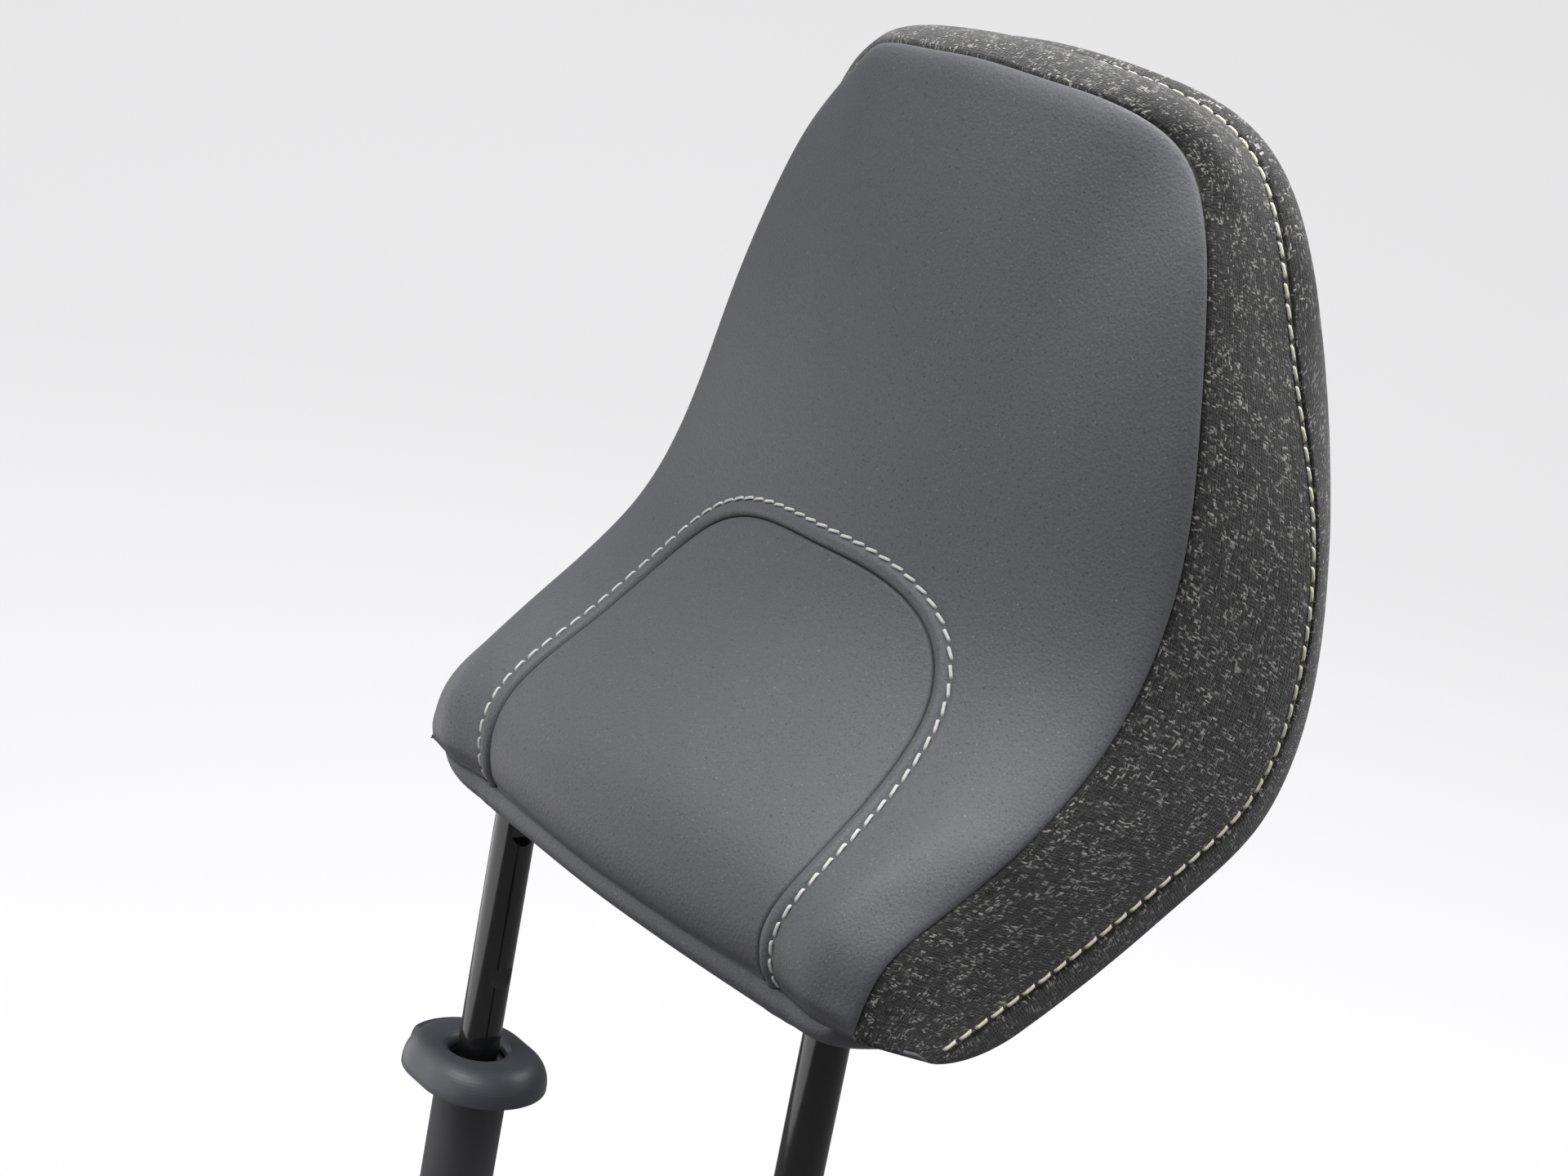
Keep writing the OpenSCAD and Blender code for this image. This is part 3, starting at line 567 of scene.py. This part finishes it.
class Nodes:
    """Short helpers for building one material's node tree."""

    def __init__(self, name):
        self.material = bpy.data.materials.new(name)
        self.material.use_nodes = True
        self.tree = self.material.node_tree
        self.shader = next(n for n in self.tree.nodes if n.type == "BSDF_PRINCIPLED")

    def add(self, kind, inputs=None, **settings):
        node = self.tree.nodes.new(kind)
        for key, value in settings.items():
            setattr(node, key, value)
        for key, value in (inputs or {}).items():
            self.put(node.inputs[key], value)
        return node

    def put(self, socket, value):
        if isinstance(value, bpy.types.NodeSocket):
            self.tree.links.new(value, socket)
        else:
            socket.default_value = value

    def set(self, **values):
        for key, value in values.items():
            self.put(self.shader.inputs[key.replace("_", " ")], value)

    def coordinates(self):
        """The place on the object in millimetres."""
        source = self.add("ShaderNodeTexCoord")
        return self.add("ShaderNodeVectorMath", {0: source.outputs["Object"], 1: (1 / MM,) * 3},
                        operation="MULTIPLY").outputs[0]

    def noise(self, where, scale, detail=2.0, rough=0.5):
        return self.add("ShaderNodeTexNoise", {"Vector": where, "Scale": scale, "Detail": detail,
                                               "Roughness": rough}).outputs["Fac"]

    def cells(self, where, scale):
        return self.add("ShaderNodeTexVoronoi", {"Vector": where, "Scale": scale}).outputs["Distance"]

    def ramp(self, value, low, high, to_low=0.0, to_high=1.0):
        return self.add("ShaderNodeMapRange", {"Value": value, "From Min": low, "From Max": high,
                                               "To Min": to_low, "To Max": to_high}).outputs[0]

    def math(self, operation, a, b=0.0):
        return self.add("ShaderNodeMath", {0: a, 1: b}, operation=operation).outputs[0]

    def mix(self, factor, a, b):
        return self.add("ShaderNodeMix", {"Factor": factor, 6: a, 7: b}, data_type="RGBA").outputs[2]

    def bump(self, height, distance, strength=1.0, normal=None):
        inputs = {"Height": height, "Distance": distance * MM, "Strength": strength}
        if normal is not None:
            inputs["Normal"] = normal
        return self.add("ShaderNodeBump", inputs).outputs[0]


def leatherette():
    m = Nodes("leatherette")
    where = m.coordinates()
    pebbles = m.cells(where, 1.15)
    fine = m.noise(where, 2.2, 3.0, 0.65)
    coarse = m.noise(where, 0.55, 2.0)
    tone = m.noise(where, 0.02, 2.0)
    pits = m.ramp(m.noise(where, 1.5, 1.0), 0.62, 0.74)
    light, dark = (0.108, 0.110, 0.119, 1), (0.086, 0.088, 0.096, 1)
    colour = m.mix(tone, light, dark)
    colour = m.mix(m.ramp(fine, 0.35, 0.65, 0.0, 0.5), colour, (0.062, 0.063, 0.069, 1))
    colour = m.mix(m.math("MULTIPLY", pits, 0.55), colour, (0.02, 0.02, 0.023, 1))
    glints = m.ramp(m.noise(where, 1.9, 1.0), 0.70, 0.78)
    colour = m.mix(m.math("MULTIPLY", glints, 0.5), colour, (0.32, 0.32, 0.33, 1))
    height = m.math("ADD", m.math("MULTIPLY", pebbles, 0.8), m.math("MULTIPLY", fine, 0.7))
    height = m.math("ADD", height, m.math("MULTIPLY", coarse, 0.25))
    m.set(Base_Color=colour, Roughness=m.ramp(fine, 0.3, 0.7, 0.46, 0.6), Normal=m.bump(height, 0.13, 0.7),
          Sheen_Weight=0.08, Sheen_Roughness=0.4, Specular_IOR_Level=0.4)
    return m.material


def melange_fabric():
    """Melange yarn whose floats lie both ways, each with its own shade from charcoal to beige."""
    m = Nodes("melange_fabric")
    source = m.add("ShaderNodeTexCoord").outputs["UV"]
    wobble = m.add("ShaderNodeTexNoise", {"Vector": source, "Scale": 0.3, "Detail": 2.0}).outputs["Color"]
    bend = m.add("ShaderNodeVectorMath", {0: wobble, 1: (1.6, 1.6, 0)}, operation="MULTIPLY").outputs[0]
    where = m.add("ShaderNodeVectorMath", {0: source, 1: bend}, operation="ADD").outputs[0]
    picks, tops = [], []
    for pitch in ((0.38, 0.9), (0.9, 0.4)):
        yarns = m.add("ShaderNodeVectorMath", {0: where, 1: (1 / pitch[0], 1 / pitch[1], 1)},
                      operation="MULTIPLY").outputs[0]
        cell = m.add("ShaderNodeVectorMath", {0: yarns}, operation="FLOOR").outputs[0]
        spot = m.add("ShaderNodeVectorMath", {0: yarns}, operation="FRACTION").outputs[0]
        inside = m.add("ShaderNodeSeparateXYZ", {0: spot})
        across = m.math("SINE", m.math("MULTIPLY", inside.outputs[0], math.pi))
        along = m.math("SINE", m.math("MULTIPLY", inside.outputs[1], math.pi))
        tops.append(m.math("POWER", m.math("MULTIPLY", across, along), 0.5))
        shade = m.add("ShaderNodeTexWhiteNoise", {"Vector": cell}, noise_dimensions="2D")
        picks.append(shade.outputs["Value"])
    clusters = m.ramp(m.noise(where, 0.2, 2.0), 0.35, 0.65, -0.06, 0.06)
    flecks = m.math("MAXIMUM", m.ramp(m.math("ADD", picks[0], clusters), 0.90, 1.02),
                    m.ramp(m.math("ADD", picks[1], clusters), 0.92, 1.04))
    colour = m.mix(m.ramp(picks[0], 0.2, 0.9), (0.012, 0.0115, 0.0115, 1), (0.046, 0.044, 0.043, 1))
    colour = m.mix(flecks, colour, (0.38, 0.37, 0.35, 1))
    height = m.math("ADD", m.math("MAXIMUM", tops[0], tops[1]), m.math("MULTIPLY", flecks, 0.5))
    m.set(Base_Color=colour, Roughness=0.95, Normal=m.bump(height, 0.3, 0.8), Sheen_Weight=0.3,
          Sheen_Roughness=0.5, Specular_IOR_Level=0.2)
    return m.material


def thread(name, colour):
    m = Nodes(name)
    where = m.coordinates()
    twist = m.add("ShaderNodeTexWave", {"Vector": where, "Scale": 1.1, "Distortion": 1.5},
                  bands_direction="DIAGONAL").outputs["Fac"]
    shade = m.mix(m.ramp(twist, 0.0, 1.0), tuple(0.7 * c for c in colour) + (1,), colour + (1,))
    m.set(Base_Color=shade, Roughness=0.6, Normal=m.bump(twist, 0.12, 0.7), Sheen_Weight=0.3,
          Specular_IOR_Level=0.35)
    return m.material


def black_paint():
    """Glossy black paint. On the straight legs its normals point straight out from each post's axis."""
    m = Nodes("post_paint")
    where = m.coordinates()
    spot = m.add("ShaderNodeSeparateXYZ", {0: where}).outputs
    aside = m.math("SUBTRACT", spot["X"], float(MIDDLE[0]))
    nearest = m.math("MULTIPLY", m.math("SIGN", aside), float(POST_X))
    out_x = m.math("SUBTRACT", aside, nearest)
    out = m.add("ShaderNodeCombineXYZ", {"X": out_x, "Y": spot["Y"], "Z": 0.0}).outputs[0]
    reach = m.add("ShaderNodeVectorMath", {0: out}, operation="LENGTH").outputs["Value"]
    on_leg = m.math("MULTIPLY", m.math("GREATER_THAN", reach, POST_R - 0.3),
                    m.math("LESS_THAN", spot["Z"], float(face_points[-1][2])))
    straight_out = m.add("ShaderNodeVectorMath", {0: out}, operation="NORMALIZE").outputs[0]
    as_built = m.add("ShaderNodeNewGeometry").outputs["Normal"]
    normal = m.add("ShaderNodeMix", {"Factor": on_leg, 4: as_built, 5: straight_out},
                   data_type="VECTOR").outputs[1]
    peel = m.noise(where, 0.35, 2.0)
    dust = m.ramp(m.noise(where, 1.4, 2.0), 0.6, 0.8)
    m.set(Base_Color=(0.008, 0.008, 0.009, 1), Roughness=m.ramp(dust, 0, 1, 0.1, 0.2),
          Normal=m.bump(peel, 0.03, 0.3, normal), Specular_IOR_Level=0.55)
    return m.material


def moulded(name, colour, rough, grain=0.05):
    m = Nodes(name)
    where = m.coordinates()
    fine = m.noise(where, 3.0, 3.0, 0.6)
    tone = m.noise(where, 0.08, 2.0)
    shade = m.mix(tone, tuple(0.88 * c for c in colour) + (1,), tuple(1.1 * c for c in colour) + (1,))
    m.set(Base_Color=shade, Roughness=m.ramp(fine, 0.3, 0.7, rough - 0.04, rough + 0.06),
          Normal=m.bump(fine, grain, 0.6), Specular_IOR_Level=0.5)
    return m.material


def plated(name, colour, rough):
    m = Nodes(name)
    where = m.coordinates()
    drawn = m.add("ShaderNodeMapping", {"Vector": where, "Scale": (0.2, 3.0, 3.0)}).outputs[0]
    lines = m.noise(drawn, 1.2, 3.0)
    m.set(Base_Color=colour + (1,), Metallic=1.0, Roughness=m.ramp(lines, 0.3, 0.7, rough, rough + 0.15),
          Normal=m.bump(lines, 0.02, 0.5))
    return m.material


def foam():
    m = Nodes("foam")
    where = m.coordinates()
    cells = m.cells(where, 0.8)
    skin = m.noise(where, 0.06, 3.0)
    shade = m.mix(skin, (0.62, 0.56, 0.38, 1), (0.75, 0.7, 0.52, 1))
    m.set(Base_Color=shade, Roughness=0.95, Normal=m.bump(cells, 0.4, 0.7), Sheen_Weight=0.2)
    return m.material


# ---------------------------------------------------------------- build

leather, fabric = leatherette(), melange_fabric()
white_thread = thread("white_thread", (0.74, 0.73, 0.71))
cream_thread = thread("cream_thread", (0.74, 0.70, 0.58))

face, d_neck = face_grid()
neck = neck_grid()
border, d_rear = border_grid()
front_edge = np.concatenate([face[0], face[-1], neck[-1]])
panel("face_panel", face, leather, "cover_face")
panel("neck_panel", neck, leather, "cover_neck")
panel("border_panel", border, fabric, "cover_border")
panel("back_panel", back_grid(), fabric, "cover_back")
underside = underside_grid(front_edge, border[0], border[-1])
panel("underside_panel", underside, leather, "cover_underside", THIN_TRIM)

path, up = row_along(face, d_neck, NECK_STITCH_OFFSET)
stitch_row("neck_thread", path, up, white_thread, "neck_stitching", 0.12)
path, up = row_along(border, d_rear, REAR_STITCH_OFFSET)
clear_of_ends = slice(4, -4)
path, up = path[clear_of_ends], up[clear_of_ends]
stitch_row("border_thread", path, up, cream_thread, "border_stitching", 0.08)

FINISHES = {
    "post_paint": black_paint(),
    "escutcheon_plastic": moulded("escutcheon_plastic", (0.062, 0.068, 0.078), 0.38),
    "button_plastic": moulded("button_plastic", (0.04, 0.042, 0.046), 0.42),
    "sleeve_plastic": moulded("sleeve_plastic", (0.05, 0.05, 0.055), 0.5),
    "liner_plastic": moulded("liner_plastic", (0.6, 0.59, 0.54), 0.45),
    "carrier_plastic": moulded("carrier_plastic", (0.03, 0.03, 0.032), 0.55),
    "strip_plastic": moulded("strip_plastic", (0.03, 0.03, 0.03), 0.5),
    "spring_steel": plated("spring_steel", (0.55, 0.55, 0.57), 0.25),
    "slider_steel": plated("slider_steel", (0.5, 0.5, 0.52), 0.3),
    "screw_steel": plated("screw_steel", (0.55, 0.55, 0.57), 0.3),
    "foam": foam(),
}
slot_of = {part["node"]: part["material_slot"] for part in frame["record"]["subparts"]}
for name, node in frame["nodes"].items():
    finish = FINISHES.get(slot_of[name])
    if finish is not None:
        node.data.materials.clear()
        node.data.materials.append(finish)

def return_spring():
    """The lock's return spring, as its own copy of the CAD mesh that rides on the guides."""
    node = frame["nodes"]["lock_spring"]
    mesh = node.data.copy()
    mesh.transform(node.matrix_world)
    coil = add_object("return_spring", mesh, "lock_spring", "guides")
    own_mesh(coil)


return_spring()

# The notches leave thin slivers between them, which are welded shut
post = frame["nodes"]["post_frame"]
post.modifiers.new("close_slivers", "WELD").merge_threshold = SLIVER * MM
post.modifiers.new("keep_corners", "EDGE_SPLIT").split_angle = math.radians(30)

# ---------------------------------------------------------------- stage, light and camera

SKY_LOW, SKY_HIGH = 0.06, 0.8          # brightness of the sky at the horizon and overhead


def pale_floor():
    """Pale to the eye, but it throws only a little light back up at the object."""
    m = Nodes("pale_floor")
    glow = m.add("ShaderNodeEmission", {"Color": (0.86, 0.85, 0.86, 1), "Strength": 0.84})
    seen = m.add("ShaderNodeAddShader", {0: glow.outputs[0], 1: m.shader.outputs[0]})
    m.set(Base_Color=(0.13, 0.13, 0.133, 1), Roughness=0.9)
    rays = m.add("ShaderNodeLightPath").outputs["Is Camera Ray"]
    both = m.add("ShaderNodeMixShader", {0: rays, 1: m.shader.outputs[0], 2: seen.outputs[0]})
    m.tree.links.new(both.outputs[0], m.tree.nodes["Material Output"].inputs["Surface"])
    return m.material


def stage():
    """A floor under the guides that curves up into a backdrop behind the object."""
    low = post_low[2]
    reach, wall, bend, steps = 3.0, 1.6, 0.8, 24
    outline = [(-reach, low)]
    for k in range(steps + 1):
        a = math.pi / 2 * k / steps
        outline.append((wall + bend * math.sin(a), low + bend * (1 - math.cos(a))))
    outline.append((wall + bend, low + reach))
    turn = math.radians(50)
    verts = []
    for along, z in outline:
        for side in (-reach * 4, reach * 4):
            verts.append((side * math.cos(turn) - along * math.sin(turn),
                          side * math.sin(turn) + along * math.cos(turn), z))
    faces = [(2 * k, 2 * k + 1, 2 * k + 3, 2 * k + 2) for k in range(len(outline) - 1)]
    mesh = bpy.data.meshes.new("floor")
    mesh.from_pydata(verts, [], faces)
    mesh.shade_smooth()
    mesh.materials.append(pale_floor())
    floor = bpy.data.objects.new("floor", mesh)
    bpy.context.scene.collection.objects.link(floor)


def placed(ob, right, up, back, place):
    """Puts a lamp or a camera at a place relative to the pad's middle, with its own axes."""
    columns = np.stack([right, up, back, np.asarray(place) + MIDDLE * MM], -1)
    ob.matrix_world = Matrix([list(row) for row in columns] + [[0, 0, 0, 1]])
    bpy.context.scene.collection.objects.link(ob)


def area_light(name, place, target, size, power):
    data = bpy.data.lights.new(name, "AREA")
    data.shape = "RECTANGLE"
    data.size, data.size_y = size
    data.energy = power
    back = unit(np.array(place) - np.array(target))
    right = unit(np.cross((0, 0, 1), back))
    ob = bpy.data.objects.new(name, data)
    ob.visible_camera = False
    placed(ob, right, np.cross(back, right), back, place)
    return ob


def sky():
    """Soft light that is bright overhead and falls off towards the horizon and below."""
    world = bpy.data.worlds.new("studio")
    world.use_nodes = True
    tree = world.node_tree
    up = tree.nodes.new("ShaderNodeSeparateXYZ")
    tree.links.new(tree.nodes.new("ShaderNodeTexCoord").outputs["Generated"], up.inputs[0])
    level = tree.nodes.new("ShaderNodeMapRange")
    level.interpolation_type = "SMOOTHSTEP"
    tree.links.new(up.outputs["Z"], level.inputs["Value"])
    for key, value in (("From Min", -0.1), ("From Max", 1.0), ("To Min", SKY_LOW), ("To Max", SKY_HIGH)):
        level.inputs[key].default_value = value
    background = tree.nodes["Background"]
    background.inputs["Color"].default_value = (0.97, 0.975, 1.0, 1)
    tree.links.new(level.outputs[0], background.inputs["Strength"])
    bpy.context.scene.world = world


def lights():
    sky()
    area_light("overhead", (0.12, 0.5, 1.2), (0, 0.05, 0.25), (1.0, 0.8), 29)
    area_light("front", (-0.1, -0.42, 0.82), (0, 0.02, 0.25), (0.7, 0.5), 4.9)
    # A white wall on the left, which only shows as a reflection in the posts and the leatherette
    wall = area_light("left_wall", (-0.22, -0.26, 0), (0, 0, 0), (0.9, 0.42), 1.9)
    wall.visible_diffuse = False


def camera():
    """From the front right, a little above, with the horizon tilted."""
    data = bpy.data.cameras.new("camera")
    data.sensor_width = 36
    data.lens = 61.9
    ob = bpy.data.objects.new("camera", data)
    right, up = np.array([0.59184, 0.78540, 0.18131]), np.array([-0.31379, 0.01729, 0.94934])
    placed(ob, right, up, np.cross(right, up), (0.5145, -0.4085, 0.3487))
    bpy.context.scene.camera = ob


stage()
lights()
camera()
bpy.context.scene.view_settings.view_transform = "Standard"
